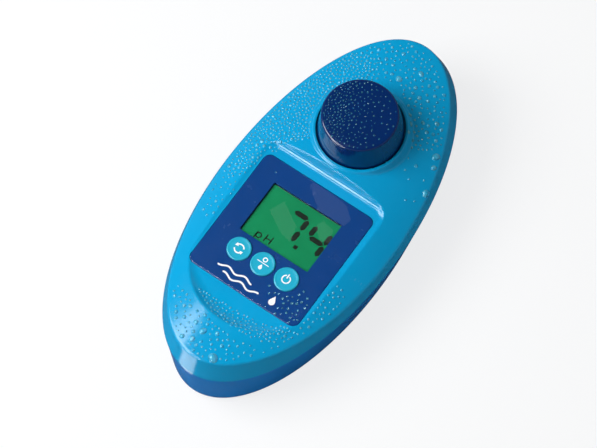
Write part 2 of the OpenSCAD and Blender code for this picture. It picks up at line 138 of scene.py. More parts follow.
def crown(x, y):
    across = np.sqrt(np.clip(CROWN_ACROSS ** 2 - x * x, 1, None))
    swing = CROWN_ALONG - CROWN_ACROSS + across
    return CROWN_Z - CROWN_ALONG + np.sqrt(swing ** 2 - y * y)


def pocket(x, y):
    """Floor round the panel, its leaning end wall, low side walls and the finger scoop."""
    qx = np.abs(x) - (POCKET_HALF - POCKET_CORNER)
    qy = y - (POCKET_END_Y - POCKET_CORNER)
    out_x, out_y = np.clip(qx, 0, None), np.clip(qy, 0, None)
    out = np.hypot(out_x, out_y)
    dist = out + np.minimum(np.maximum(qx, qy), 0) - POCKET_CORNER
    endward = (out_y / np.maximum(out, 1e-6)) ** 4
    side = FLOOR_Z + SIDE_SLOPE * dist
    run = dist + END_OFFSET
    end = smax(FLOOR_Z + END_SLOPE * run,
               FLOOR_Z + END_SLOPE * END_TURN + END_STEEP * (run - END_TURN), 0.25)
    z = smax(np.full_like(x, FLOOR_Z), side + (end - side) * endward, 0.45 + 0.9 * (1 - endward))
    run = np.hypot(x, y - SCOOP_Y) - SCOOP_R
    bowl = FLOOR_Z + SCOOP_CURVE * np.clip(run, 0, SCOOP_BOWL) ** 2
    rise = FLOOR_Z + SCOOP_RISE + 2 * SCOOP_CURVE * SCOOP_BOWL * (run - SCOOP_BOWL)
    scoop = np.where(run < SCOOP_BOWL, bowl, rise)
    return np.where(y < SCOOP_LIMIT_Y, np.maximum(z, np.where(run > 0, scoop, FLOOR_Z)), z)


def collar(x, y):
    """Raised ring round the cap: falls away outside, rounds over inside."""
    radius = np.hypot(x, y - CUP_Y)
    out = np.clip(radius - COLLAR_OUT, 0, None)
    z = COLLAR_Z - np.where(out < 0.5, 2.0 * out * out, 2.0 * (out - 0.25))
    inner = np.clip(COLLAR_IN - radius, 0, None)
    return z - 0.9 * inner * inner


def top(x, y):
    """Outer surface of the upper shell, softer where the pocket's sides meet the crown."""
    side = ease(14.0, 24.0, np.abs(x)) * ease(-30, -20, y)
    z = smin(crown(x, y), pocket(x, y), 0.35 + 0.9 * side)
    return smax(z, collar(x, y), 1.1)


def under(x, y):
    """Inner surface of the upper shell, lower round the cup."""
    near = 1.0 - ease(18.9, 21.0, np.hypot(x, y - CUP_Y))
    return smin(crown(x, y) - WALL - 1.5 * near, pocket(x, y) - 2.7, 1.5)


def height(surface, x, y):
    return float(surface(np.array([x], float), np.array([y], float))[0])


# ------------------------------------------------------------------ mesh helpers
def place(name, data):
    ob = bpy.data.objects.new(name, data)
    bpy.context.scene.collection.objects.link(ob)
    return ob


def bare_mesh(name, verts, faces):
    me = bpy.data.meshes.new(name)
    me.from_pydata((np.asarray(verts, float) * MM).tolist(), [], faces)
    me.update()
    return place(name, me)


def obj_from(name, verts, faces, smooth=True, angle=None):
    ob = bare_mesh(name, verts, faces)
    bm = bmesh.new()
    bm.from_mesh(ob.data)
    bmesh.ops.recalc_face_normals(bm, faces=bm.faces)
    bm.to_mesh(ob.data)
    bm.free()
    shade(ob, smooth, angle)
    return ob


def shade(ob, smooth=True, angle=None, least=2e-6):
    """Smooth up to an angle; level faces larger than least (square metres) stay flat."""
    me = ob.data
    count = len(me.polygons)
    me.polygons.foreach_set("use_smooth", [smooth] * count)
    if smooth and angle is not None:
        me.set_sharp_from_angle(angle=math.radians(angle))
        normal, area = np.empty(count * 3), np.empty(count)
        me.polygons.foreach_get("normal", normal)
        me.polygons.foreach_get("area", area)
        level_face = (np.abs(normal[2::3]) > 0.99995) & (area > least)
        me.polygons.foreach_set("use_smooth", ~level_face)
    me.update()


def quads(count, a, b):
    """Faces between two rings of count points that start at indices a and b."""
    return [(a + j, a + (j + 1) % count, b + (j + 1) % count, b + j) for j in range(count)]


def skin(rings):
    """Closed skin through rings of equal length, as (verts, faces)."""
    count = len(rings[0])
    faces = []
    for i in range(len(rings) - 1):
        faces += quads(count, i * count, (i + 1) * count)
    last = (len(rings) - 1) * count
    faces += [tuple(range(count - 1, -1, -1)), tuple(range(last, last + count))]
    return np.concatenate(rings), faces


def level(points, z):
    return np.c_[np.asarray(points, float), np.full(len(points), z)]


def slab(points, z0, z1):
    return skin([level(points, z0), level(points, z1)])


def rounded_rect(width, length, radius, seg=12):
    points = []
    for sx, sy, start in ((1, 1, 0), (-1, 1, 90), (-1, -1, 180), (1, -1, 270)):
        for i in range(seg + 1):
            a = math.radians(start + 90 * i / seg)
            points.append((sx * (width / 2 - radius) + radius * math.cos(a),
                           sy * (length / 2 - radius) + radius * math.sin(a)))
    return np.array(points)


def prism(points, z0, z1, centre=(0, 0)):
    return obj_from("tool", *slab(np.asarray(points, float) + np.array(centre), z0, z1),
                    smooth=False)


def cyl(radius, z0, z1, centre, seg=96):
    a = np.linspace(0, 2 * np.pi, seg, endpoint=False)
    return prism(np.c_[radius * np.cos(a), radius * np.sin(a)], z0, z1, centre)


def box(x0, x1, y0, y1, z0, z1):
    return prism([(x0, y0), (x1, y0), (x1, y1), (x0, y1)], z0, z1)


def lathe(name, profile, centre, seg=192, angle=30):
    """Solid of revolution. profile runs (radius, z) from the axis, outside and back to it."""
    turns = np.linspace(0, 2 * np.pi, seg, endpoint=False)
    verts, faces, start = [], [], []
    for r, z in profile:
        start.append(len(verts))
        if r < 1e-6:
            verts.append((*centre, z))
        else:
            verts += [(centre[0] + r * math.cos(t), centre[1] + r * math.sin(t), z) for t in turns]
    for i in range(len(profile) - 1):
        on_axis, next_on_axis = profile[i][0] < 1e-6, profile[i + 1][0] < 1e-6
        a, b = start[i], start[i + 1]
        if on_axis and not next_on_axis:
            faces += [(a, b + (j + 1) % seg, b + j) for j in range(seg)]
        elif next_on_axis and not on_axis:
            faces += [(a + j, a + (j + 1) % seg, b) for j in range(seg)]
        elif not on_axis:
            faces += quads(seg, a, b)
    return obj_from(name, verts, faces, angle=angle)


def combine(ob, tool, operation):
    """Boolean of ob with tool; the tool object is used up."""
    mod = ob.modifiers.new("cut", "BOOLEAN")
    mod.operation = operation
    mod.object = tool
    try:
        mod.solver = "MANIFOLD"
    except TypeError:       # a Blender without the manifold solver
        mod.solver = "EXACT"
    graph = bpy.context.evaluated_depsgraph_get()
    me = bpy.data.meshes.new_from_object(ob.evaluated_get(graph))
    ob.modifiers.clear()
    old = ob.data
    if len(me.polygons) == 0:
        raise RuntimeError("boolean left nothing: " + ob.name)
    ob.data = me
    me.name = ob.name
    bpy.data.meshes.remove(old)
    bpy.data.objects.remove(tool)


def gather(tools):
    for tool in tools[1:]:
        combine(tools[0], tool, "UNION")
    return tools[0]


def carve(ob, add=(), cut=(), angle=32, least=2e-6):
    if add:
        combine(ob, gather(add), "UNION")
    if cut:
        combine(ob, gather(cut), "DIFFERENCE")
    shade(ob, True, angle, least)


# ------------------------------------------------------------------ shader helpers
class Nodes:
    """Node tree of a material or world. An input is given as a value or a socket to link."""

    def __init__(self, owner, kind="Material"):
        owner.use_nodes = True
        self.owner, self.tree = owner, owner.node_tree
        self.tree.nodes.clear()
        self.end = self.tree.nodes.new("ShaderNodeOutput" + kind)
        self.coords = self.tree.nodes.new("ShaderNodeTexCoord").outputs

    def add(self, kind, inputs=(), **settings):
        node = self.tree.nodes.new(kind)
        for key, value in settings.items():
            setattr(node, key, value)
        for key, value in dict(inputs).items():
            if isinstance(value, bpy.types.NodeSocket):
                self.tree.links.new(value, node.inputs[key])
            else:
                node.inputs[key].default_value = value
        return node.outputs

    def shader(self, kind, **inputs):
        """Shader node with its inputs named in lower case, spaces as underscores."""
        names = {"ior": "IOR"}
        inputs = {names.get(k, k.replace("_", " ").title()): v for k, v in inputs.items()}
        return self.add("ShaderNode" + kind, inputs)[0]

    def mix(self, factor, first, second):
        return self.add("ShaderNodeMixShader", {"Fac": factor, 1: first, 2: second})[0]

    def math(self, operation, first, second):
        return self.add("ShaderNodeMath", {0: first, 1: second}, operation=operation)[0]

    def noise(self, scale, detail=3.0, rough=0.55, stretch=None):
        vector = self.coords["Object"]
        if stretch:
            vector = self.add("ShaderNodeMapping", {"Vector": vector, "Scale": stretch})["Vector"]
        return self.add("ShaderNodeTexNoise", {"Vector": vector, "Scale": scale, "Detail": detail,
                                               "Roughness": rough})["Fac"]

    def ramp(self, factor, stops):
        """Colour ramp from (position, rgb) stops."""
        node = self.tree.nodes.new("ShaderNodeValToRGB")
        elements = node.color_ramp.elements
        while len(elements) < len(stops):
            elements.new(0.5)
        for i, (position, rgb) in enumerate(stops):
            elements[i].position = position
            elements[i].color = (*rgb, 1)
        self.tree.links.new(factor, node.inputs["Fac"])
        return node.outputs["Color"]

    def remap(self, value, source, target):
        return self.add("ShaderNodeMapRange", {
            "Value": value, "From Min": source[0], "From Max": source[1],
            "To Min": target[0], "To Max": target[1]})["Result"]

    def bump(self, height, strength, distance):
        """Bump normal; distance in metres."""
        return self.add("ShaderNodeBump", {"Height": height, "Strength": strength,
                                           "Distance": distance})["Normal"]

    def finish(self, shader):
        self.tree.links.new(shader, self.end.inputs["Surface"])
        return self.owner


def material(name):
    return Nodes(bpy.data.materials.new(name))


def scaled(rgb, factor):
    return tuple(min(1, c * factor) for c in rgb)


# ------------------------------------------------------------------ materials
def worn_edges(n, col, rgb, wear):
    """Lightens convex edges, in broken patches."""
    point = n.add("ShaderNodeNewGeometry")["Pointiness"]
    edge = n.remap(point, source=(0.53, 0.60), target=(0, wear))
    patches = n.remap(n.noise(scale=420, detail=5), source=(0.45, 0.65), target=(0, 1))
    whiten = 0.35
    pale = [c * (1 - whiten) + whiten for c in rgb]
    return n.add("ShaderNodeMix", {"Factor": n.math("MULTIPLY", edge, patches), "A": col,
                                   "B": (*pale, 1)}, data_type="RGBA")["Result"]


def plastic(name, rgb, rough=0.2, grain=2600, grain_amt=0.05, vary=0.06, coat=0.0, wear=0.0):
    n = material(name)
    # slow mould-flow variation of the pigment
    dark, light = tuple(c * (1 - vary) for c in rgb), scaled(rgb, 1 + vary)
    col = n.ramp(n.noise(scale=28, detail=4), [(0.25, dark), (0.75, light)])
    if wear > 0:
        col = worn_edges(n, col, rgb, wear)
    scuff = 0.04
    roughness = n.remap(n.noise(scale=190, detail=5, rough=0.6), source=(0.3, 0.75),
                        target=(max(0.02, rough - scuff), rough + scuff))
    normal = n.bump(n.noise(scale=grain, detail=2), strength=grain_amt, distance=0.00002)
    return n.finish(n.shader("BsdfPrincipled", base_color=col, roughness=roughness, normal=normal,
                             coat_weight=coat, coat_roughness=0.04))


def metal(name, rgb, rough=0.3, stretch=(1, 1, 14)):
    """Brushed metal; stretch draws the grain out."""
    n = material(name)
    grain = n.noise(scale=400, detail=4, rough=0.6, stretch=stretch)
    return n.finish(n.shader(
        "BsdfPrincipled", metallic=1.0,
        base_color=n.ramp(grain, [(0.3, tuple(c * 0.82 for c in rgb)), (0.7, rgb)]),
        roughness=n.remap(grain, source=(0.3, 0.7), target=(rough - 0.08, rough + 0.1)),
        normal=n.bump(grain, strength=0.15, distance=0.00003)))


def rubber(name, rgb):
    n = material(name)
    mottle = n.noise(scale=900, detail=6, rough=0.7)
    return n.finish(n.shader(
        "BsdfPrincipled",
        base_color=n.ramp(mottle, [(0.3, scaled(rgb, 0.75)), (0.75, scaled(rgb, 1.25))]),
        roughness=n.remap(mottle, source=(0.3, 0.7), target=(0.55, 0.8)),
        normal=n.bump(n.noise(scale=5200, detail=3), strength=0.25, distance=0.00005)))


def glassy(name, rgb, ior=1.49, rough=0.02):
    """Clear body: refracts for the camera, lets light through for shadows."""
    n = material(name)
    glass = n.shader(
        "BsdfGlass", color=(*rgb, 1), ior=ior,
        roughness=n.remap(n.noise(scale=300, detail=3), source=(0.3, 0.7),
                          target=(max(0, rough - 0.01), rough + 0.02)),
        normal=n.bump(n.noise(scale=90, detail=2), strength=0.02, distance=0.00005))
    clear = n.shader("BsdfTransparent", color=(*rgb, 1))
    return n.finish(n.mix(n.add("ShaderNodeLightPath")["Is Shadow Ray"], glass, clear))


def film(name):
    """Thin clear protective film: its reflection over whatever lies under it."""
    n = material(name)
    clear = n.shader("BsdfTransparent")
    gloss = n.shader(
        "BsdfGlossy",
        roughness=n.remap(n.noise(scale=260, detail=4), source=(0.3, 0.7), target=(0.004, 0.016)),
        normal=n.bump(n.noise(scale=45, detail=2), strength=0.004, distance=0.00005))
    sheen = n.mix(n.shader("Fresnel", ior=1.45), clear, gloss)
    # back faces and shadow rays go straight through
    through = n.math("MAXIMUM", n.add("ShaderNodeNewGeometry")["Backfacing"],
                     n.add("ShaderNodeLightPath")["Is Shadow Ray"])
    return n.finish(n.mix(through, sheen, clear))


def board(name):
    """Solder-mask green with paler tracks in it and a fine weave."""
    n = material(name)
    cells = n.add("ShaderNodeTexVoronoi", {"Vector": n.coords["Object"], "Scale": 420.0},
                  distance="MANHATTAN")["Distance"]
    return n.finish(n.shader(
        "BsdfPrincipled", roughness=0.3,
        base_color=n.ramp(cells, [(0.30, (0.004, 0.07, 0.02)), (0.36, (0.012, 0.16, 0.05))]),
        normal=n.bump(n.noise(scale=3000, detail=3), strength=0.1, distance=0.00003)))


def sleeve(name):
    """Printed battery sleeve: green, a yellow band, then black."""
    n = material(name)
    green, yellow, black = (0.03, 0.12, 0.06), (0.6, 0.5, 0.12), (0.02, 0.02, 0.02)
    along = n.add("ShaderNodeSeparateXYZ", {0: n.coords["Object"]})["Y"]
    band = n.remap(along, source=(-0.040, -0.022), target=(0, 1))
    return n.finish(n.shader(
        "BsdfPrincipled", roughness=0.28,
        base_color=n.ramp(band, [(0.0, green), (0.48, green), (0.52, yellow), (0.62, yellow),
                                 (0.66, black)]),
        normal=n.bump(n.noise(scale=700, detail=3), strength=0.05, distance=0.00005)))


def display(name):
    """Green display glass, faintly and unevenly lit."""
    n = material(name)
    col = n.ramp(n.noise(scale=55, detail=3),
                 [(0.3, (0.003, 0.205, 0.075)), (0.7, (0.006, 0.25, 0.095))])
    return n.finish(n.shader(
        "BsdfPrincipled", roughness=0.18, base_color=col, emission_color=col,
        emission_strength=0.06,
        normal=n.bump(n.noise(scale=2400, detail=2), strength=0.04, distance=0.00002)))


def water(name, veil=0.40, ior=1.62):
    """Beaded water: clear body, pale veil, bright reflection of the sky and a real shadow."""
    n = material(name)
    body = n.shader("BsdfGlass", ior=1.33, color=(0.93, 0.97, 1.0, 1),
                    roughness=n.remap(n.noise(scale=300, detail=3), source=(0.3, 0.7),
                                      target=(0.0, 0.03)))
    pale = n.shader("BsdfDiffuse", color=n.ramp(
        n.noise(scale=420, detail=2), [(0.35, (0.05, 0.60, 0.80)), (0.65, (0.20, 0.82, 0.97))]))
    gloss = n.shader("BsdfGlossy", color=(0.45, 0.86, 1.0, 1),
                     roughness=n.remap(n.noise(scale=260, detail=2), source=(0.3, 0.7),
                                       target=(0.14, 0.20)))
    drop = n.mix(n.shader("Fresnel", ior=ior), n.mix(veil, body, pale), gloss)
    shadow = n.shader("BsdfTransparent", color=(0.10, 0.26, 0.38, 1))
    return n.finish(n.mix(n.add("ShaderNodeLightPath")["Is Shadow Ray"], drop, shadow))


# material slot, maker, its values
MATERIALS = [
    ("light_blue_shell", plastic, dict(rgb=(0.0004, 0.315, 0.600), rough=0.16, vary=0.035,
                                       wear=0.08)),
    ("dark_blue_shell", plastic, dict(rgb=(0.0006, 0.210, 0.620), rough=0.22, wear=0.08)),
    ("dark_blue_panel", plastic, dict(rgb=(0.0003, 0.046, 0.215), rough=0.25, vary=0.05)),
    ("clear_film", film, {}),
    ("display_green", display, {}),
    ("white_plastic", plastic, dict(rgb=(0.72, 0.72, 0.68), rough=0.45, grain=900,
                                    grain_amt=0.2)),
    ("light_guide", plastic, dict(rgb=(0.78, 0.88, 0.80), rough=0.15, grain=1500)),
    ("grey_rubber", rubber, dict(rgb=(0.12, 0.12, 0.13))),
    ("circuit_board", board, {}),
    ("component_black", plastic, dict(rgb=(0.018, 0.018, 0.02), rough=0.5, grain=3000,
                                      grain_amt=0.3)),
    ("steel", metal, dict(rgb=(0.62, 0.62, 0.64))),
    ("key_cyan", plastic, dict(rgb=(0.012, 0.385, 0.56), rough=0.24, vary=0.05, wear=0.3)),
    ("clear_chamber", glassy, dict(rgb=(0.90, 0.96, 1.0))),
    ("black_rubber", rubber, dict(rgb=(0.016, 0.016, 0.017))),
    ("navy_cap", plastic, dict(rgb=(0.0008, 0.020, 0.112), rough=0.12, vary=0.10, coat=0.2)),
    ("black_plastic", plastic, dict(rgb=(0.012, 0.013, 0.016), rough=0.4, grain=1200,
                                    grain_amt=0.25)),
    ("seal_red", rubber, dict(rgb=(0.33, 0.03, 0.02))),
    ("led_lens", glassy, dict(rgb=(0.92, 0.95, 0.85), rough=0.05)),
    ("filter_glass", glassy, dict(rgb=(0.10, 0.55, 0.20), ior=1.5, rough=0.01)),
    ("ribbon_grey", plastic, dict(rgb=(0.5, 0.5, 0.52), rough=0.4, grain=1500)),
    ("battery_sleeve", sleeve, {}),
    ("spring_steel", metal, dict(rgb=(0.72, 0.72, 0.74), rough=0.2, stretch=(1, 1, 1))),
    ("contact_nickel", metal, dict(rgb=(0.66, 0.62, 0.54), stretch=(1, 14, 1))),
    ("wire_red", plastic, dict(rgb=(0.45, 0.02, 0.02), rough=0.35, grain=1500)),
]
SLOT_MATERIAL = {name: make(name, **values) for name, make, values in MATERIALS}

node_slot = {part["node"]: part["material_slot"] for part in frame["record"]["subparts"]}
for name, ob in frame["nodes"].items():
    ob.data.materials.clear()
    ob.data.materials.append(SLOT_MATERIAL[node_slot[name]])

INK = dict(rough=0.35, grain=1800, grain_amt=0.1)
INK_WHITE = plastic("ink_white", (0.86, 0.89, 0.90), vary=0.02, **INK)
# dark ink for the display digits and letters, also used for a painted shadow line along two edges
# of the display glass
DARK_INK_AND_SHADOW = plastic("dark_ink_and_painted_shadow", (0.004, 0.016, 0.008), vary=0.1, **INK)
WATER = water("water")
WATER_CAP = water("water_on_cap", veil=0.16, ior=1.42)


def dress(ob, body, slot=None, mat=None, replaces=()):
    """Gives ob its material and tells the frame which CAD body it rides on."""
    ob.data.materials.clear()
    ob.data.materials.append(mat or SLOT_MATERIAL[slot])
    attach(ob, body)
    if replaces:
        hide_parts(*replaces)


# ------------------------------------------------------------------ upper shell
UPPER_TURN, UPPER_STEPS = 640, 230      # points round a ring, rings from middle to edge
EDGE = 0.85                             # width of the rounding between top and flank


def meet(t, inset, z, surface):
    """Line where a flank meets a surface, found by repeated substitution from height z."""
    z = np.full(len(t), z)
    for _ in range(30):
        x, y = flank(t, z, inset)
        z = surface(x, y)
    return x, y, z


def upper_rings(t):
    """Rings from the middle of the top, over the edge, down the flank and back inside."""
    edge_x, edge_y, edge_z = meet(t, 0, 30.0, crown)
    shrink = 1 - EDGE / np.hypot(edge_x, edge_y)
    x, y = edge_x * shrink, edge_y * shrink
    rings = []
    for s in np.linspace(0, 1, UPPER_STEPS + 1)[1:]:
        rings.append(np.c_[x * s, y * s, top(x * s, y * s)])
    # quadratic curve over the edge
    low_z = edge_z - EDGE * 0.9
    start, corner = np.c_[x, y, top(x, y)], np.c_[edge_x, edge_y, edge_z]
    stop = np.c_[(*flank(t, low_z), low_z)]
    for u in np.linspace(0, 1, 8)[1:]:
        rings.append((1 - u) ** 2 * start + 2 * u * (1 - u) * corner + u * u * stop)
    for s in (0.2, 0.4, 0.6, 0.8, 0.93):
        z = low_z + (21.95 - low_z) * s
        rings.append(np.c_[(*flank(t, z), z)])
    # height, inset: rounding of the lower edge and the flat rim
    for z, inset in ((21.8, 0.12), (21.68, 0.13), (21.57, 0.20), (21.5, 0.34), (PART_Z, WALL)):
        rings.append(level(np.transpose(outline(t, inset)), z))
    inner_z = meet(t, WALL, 28.0, under)[2]
    for s in (0.35, 0.7, 1.0):
        z = PART_Z + (inner_z - PART_Z) * s
        rings.append(np.c_[(*flank(t, z, WALL), z)])
    x, y = flank(t, inner_z, WALL)
    for s in np.linspace(1, 0, 61)[1:-1]:
        rings.append(np.c_[x * s, y * s, under(x * s, y * s)])
    return rings


def build_upper():
    count = UPPER_TURN
    rings = upper_rings(np.linspace(0, 2 * np.pi, count, endpoint=False))
    verts = np.concatenate([[[0, 0, height(top, 0, 0)]]] + rings + [[[0, 0, height(under, 0, 0)]]])
    faces = [(0, 1 + (j + 1) % count, 1 + j) for j in range(count)]
    for i in range(len(rings) - 1):
        faces += quads(count, 1 + i * count, 1 + (i + 1) * count)
    last, ring = len(verts) - 1, 1 + (len(rings) - 1) * count
    faces += [(ring + j, ring + (j + 1) % count, last) for j in range(count)]
    ob = obj_from("upper_shell", verts, faces)
    # cup wall, case screw bosses, board posts
    add = [cyl(18.85, 24.5, 31.9, (0, CUP_Y), 144)]
    add += [cyl(3.6, PART_Z, 31.0 if at[1] > 0 else 29.0, at, 48) for at in CASE_SCREWS]
    add += [cyl(2.6, 19.6, 28.2, at, 48) for at in BOARD_POSTS]
    # panel recess with 0.1 clearance all round, display opening, key openings
    cut = [prism(rounded_rect(PANEL_W + 0.2, PANEL_L + 0.2, PANEL_R + 0.1), 29.0, 40,
                 (0, PANEL_Y)),
           prism(rounded_rect(34.4, 26.4, 0.6, 4), 20, 30, (0, GLASS_Y))]
    cut += [cyl(KEY_HOLE_R, 20, 30, at) for at in KEY_PLACES]
    # bore through the collar, with a lip part way up
    bore = [(0, 20), (17.3, 20), (17.3, 30.2), (13.9, 30.2), (13.9, 32.2), (16.7, 32.2),
            (16.7, 40), (0, 40)]
    cut.append(lathe("tool", bore, (0, CUP_Y), 256))
    # screw holes
    cut += [cyl(1.5, 18, 28.5, at, 32) for at in CASE_SCREWS]
    cut += [cyl(1.0, 18, 26, at, 32) for at in BOARD_POSTS]
    carve(ob, add, cut, angle=38)
    dress(ob, "case", "light_blue_shell", replaces=("upper_housing",))


# ------------------------------------------------------------------ lower shell
LOWER_TURN = 360
FOOT = (3.76, 1.5)          # inset, z where the rounded foot meets the wall
RIM = (0.25, 21.05)         # inset, z at the top of the wall
SUNK_Z = 2.4                # features start a little inside the floor, which is at 2.5


def lower_ring(inset, z):
    """Outline ring, shifted further towards the tail the lower it lies."""
    t = np.linspace(0, 2 * np.pi, LOWER_TURN, endpoint=False)
    x, y = outline(t, inset)
    return level(np.c_[x, y - BASE_SHIFT * min(1.0, max(0.0, (21.1 - z) / 19.4))], z)


def lower_body():
    # inset, z: up the outside, over the rim and down the inside
    profile = [(5.9, 0.0), (5.2, 0.04), (4.65, 0.22), (4.22, 0.52), (3.92, 0.95), FOOT]
    for s in np.linspace(0, 1, 9)[1:]:
        profile.append((FOOT[0] + (RIM[0] - FOOT[0]) * s, FOOT[1] + (RIM[1] - FOOT[1]) * s))
    profile += [(0.27, 21.2), (0.36, 21.34), (0.50, 21.44), (0.68, 21.5), (WALL, PART_Z)]
    profile += [(WALL + 3.7 * s, PART_Z - 18.5 * s) for s in (0.5, 1.0)]
    profile += [(6.9, 2.6), (7.7, 2.5)]
    return obj_from("lower_shell", *skin([lower_ring(inset, z) for inset, z in profile]))


def rim_groove():
    """Groove round the rim, as a closed band."""
    corners = ((0.9, 20.2), (0.9, 23.0), (2.0, 23.0), (2.0, 20.2))
    faces = []
    for i in range(4):
        faces += quads(LOWER_TURN, i * LOWER_TURN, (i + 1) % 4 * LOWER_TURN)
    return obj_from("tool", np.concatenate([lower_ring(*c) for c in corners]), faces)


def build_lower():
    ob = lower_body()
    # battery bay walls, a plate round its foot, door screw bosses, case screw bosses
    add = [box(-13.2, 13.2, BAY_Y - 27.3, BAY_Y + 27.3, SUNK_Z, 16),
           prism(rounded_rect(33, 69, 5, 6), SUNK_Z, 4.6, (0, BAY_Y))]
    add += [cyl(3.2, SUNK_Z, 10, at, 48) for at in BAY_SCREWS]
    add += [cyl(4, SUNK_Z, PART_Z, at, 48) for at in CASE_SCREWS]
    # round seat under the cup and a block on either side of it
    add += [cyl(16.6, SUNK_Z, 7.5, (0, CUP_Y)), box(-25, -16, 26, 38, SUNK_Z, 8),
            box(16, 24.6, 26, 38, SUNK_Z, 8)]
    # door recess, the bay itself, the opening into it
    cut = [prism(rounded_rect(29, 66, 5, 10), -1, 2, (0, BAY_Y)),
           box(-11.5, 11.5, BAY_Y - 25.5, BAY_Y + 25.5, -1.5, 14.5),
           prism(rounded_rect(26.4, 54.4, 2.4, 6), -1.2, 3.2, (0, BAY_Y))]
    cut += [cyl(1.2, -1.7, 9, at, 32) for at in BAY_SCREWS]
    # counterbored case screw holes
    screw = [(0, -1.1), (3.1, -1.1), (3.1, 13), (1.7, 13), (1.7, 23), (0, 23)]
    cut += [lathe("tool", screw, at, 48) for at in CASE_SCREWS]
    # two small holes through the top of the bay, stepped hollow of the seat
    cut += [cyl(0.9, 12, 20, (sx * 7, -9), 24) for sx in (-1, 1)]
    hollow = [(0, 2.49), (10, 2.49), (10, 4.6), (14.8, 4.6), (14.8, 9), (0, 9)]
    cut.append(lathe("tool", hollow, (0, CUP_Y), 96))
    cut.append(rim_groove())
    carve(ob, add, cut)
    dress(ob, "case", "dark_blue_shell", replaces=("lower_housing",))


# ------------------------------------------------------------------ panel and film
# inset, z up the edge
PLATE_EDGE = [(0.25, 29.0), (0.05, 29.1), (0.0, 29.25), (0.0, 29.92), (0.05, 30.06),
              (0.14, 30.15), (0.28, 30.2), (0.45, 30.2)]
FILM_EDGE = [(0.5, 30.23), (0.34, 30.23), (0.30, 30.3), (0.34, 30.36), (0.44, FILM_Z),
             (0.6, FILM_Z)]


def panel_sheet(name, edge, slot, replaces, window=False):
    rings = [level(rounded_rect(PANEL_W - 2 * inset, PANEL_L - 2 * inset, PANEL_R - inset)
                   + np.array([0, PANEL_Y]), z) for inset, z in edge]
    ob = obj_from(name, *skin(rings))
    cut = [prism(rounded_rect(30.3, 22.2, 0.5, 6), 28, 31, (0, LCD_Y))] if window else []
    cut += [cyl(KEY_HOLE_R, 28, 31, at, 128) for at in KEY_PLACES]
    carve(ob, cut=cut, least=0.0)
    dress(ob, "case", slot, replaces=(replaces,))


def build_panel():
    panel_sheet("panel_plate", PLATE_EDGE, "dark_blue_panel", "front_panel", window=True)
    panel_sheet("clear_overlay", FILM_EDGE, "clear_film", "panel_overlay")


# ------------------------------------------------------------------ flat marks
def stroke(points, width, z0, z1, round_ends=True, closed=False):
    """Flat ribbon along a polyline, as (verts, faces) of a closed slab."""
    p = np.asarray(points, float)
    n = len(p)
    along = np.zeros_like(p)
    for i in range(n):
        before = p[i - 1] if closed or i > 0 else p[i]
        after = p[(i + 1) % n] if closed or i < n - 1 else p[i]
        d = after - before
        along[i] = d / max(np.hypot(*d), 1e-9)
    normal = np.c_[-along[:, 1], along[:, 0]]
    half = width / 2.0
    left, right = p + normal * half, p - normal * half
    if closed:
        verts = np.concatenate([level(side, z) for side in (left, right) for z in (z0, z1)])
        faces = []
        for i in range(n):
            left0, left1, right0, right1 = (i + n * k for k in range(4))
            next_l0, next_l1, next_r0, next_r1 = ((i + 1) % n + n * k for k in range(4))
            faces += [(left1, next_l1, next_r1, right1), (left0, right0, next_r0, next_l0),
                      (left0, next_l0, next_l1, left1), (right0, right1, next_r1, next_r0)]
        return verts, faces

    def round_end(centre, side, seg=6):
        if not round_ends:
            return []
        start = math.atan2(side[1], side[0])
        turns = [start - math.pi * k / seg for k in range(1, seg)]
        return [centre + half * np.array([math.cos(a), math.sin(a)]) for a in turns]
    loop = [*left, *round_end(p[-1], normal[-1]), *right[::-1], *round_end(p[0], -normal[0])]
    return slab(loop, z0, z1)


def merge(name, parts, body, mat, move):
    """One object from several (verts, faces) parts, moved in x and y."""
    verts, faces, count = [], [], 0
    for part_verts, part_faces in parts:
        verts.append(part_verts + np.array([*move, 0]))
        faces += [tuple(i + count for i in face) for face in part_faces]
        count += len(part_verts)
    dress(obj_from(name, np.concatenate(verts), faces, smooth=False), body, mat=mat)


def arc(x, y, radius, start, stop, count):
    """Points on an arc; angles in degrees."""
    a = np.radians(np.linspace(start, stop, count))
    return np.c_[x + radius * np.cos(a), y + radius * np.sin(a)]


def drop_shape(radius, y, tip_y, count):
    return [*arc(0, y, radius, -215, 35, count), (0, tip_y)]


# ------------------------------------------------------------------ display digits and a painted shadow line
DIGIT_Z = (28.985, 29.035)
DIGIT_HALF_W, DIGIT_HALF_H, DIGIT_Y = 3.3, 5.3, 0.95
BAR_W, BAR_GAP = 2.0, 0.24
SLANT = 0.055
# seven-segment bars: ends in half widths and half heights of the digit
SEGMENTS = {"a": ((-1, 1), (1, 1)), "b": ((1, 1), (1, 0)), "c": ((1, 0), (1, -1)),
            "f": ((-1, 0), (-1, 1)), "g": ((-1, 0), (1, 0))}


def slanted(points):
    p = np.array(points, float)
    p[:, 0] += p[:, 1] * SLANT
    return p


def segment_bar(start, stop):
    """Bar with pointed ends, kept a gap short of start and stop."""
    along = (stop - start) / np.hypot(*(stop - start))
    a, b = start + along * BAR_GAP, stop - along * BAR_GAP
    half = BAR_W / 2
    across = np.array([-along[1], along[0]]) * half
    run = along * half
    return np.array([a, a + run + across, b - run + across, b, b - run - across, a + run - across])


